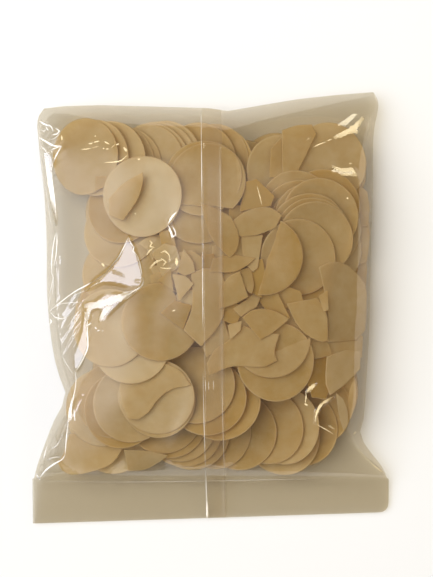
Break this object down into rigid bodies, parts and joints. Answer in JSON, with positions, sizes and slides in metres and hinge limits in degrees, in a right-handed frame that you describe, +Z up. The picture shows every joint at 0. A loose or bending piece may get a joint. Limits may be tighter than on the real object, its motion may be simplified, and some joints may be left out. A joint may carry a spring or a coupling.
{
  "type": "clear bag of rice papads",
  "caption": "Sealed clear pillow bag of rice papads lying flat, lap seam up: thin round discs, fanned and broken, show through the creased film.",
  "frame": {"origin": "middle of the bag's outline, on the surface that it lies on", "axes": "+X across the bag to the right, +Y along it from the wide end seal to the folded top, +Z up towards the seam side"},
  "size_m": [0.205, 0.2478, 0.0465],
  "materials": {
    "papad": "sun-dried rice dough seen through clear film",
    "film": "glossy clear cast polypropylene film"
  },
  "bodies": {
    "root": {"papad_bag": "papad"}
  },
  "joints": []
}
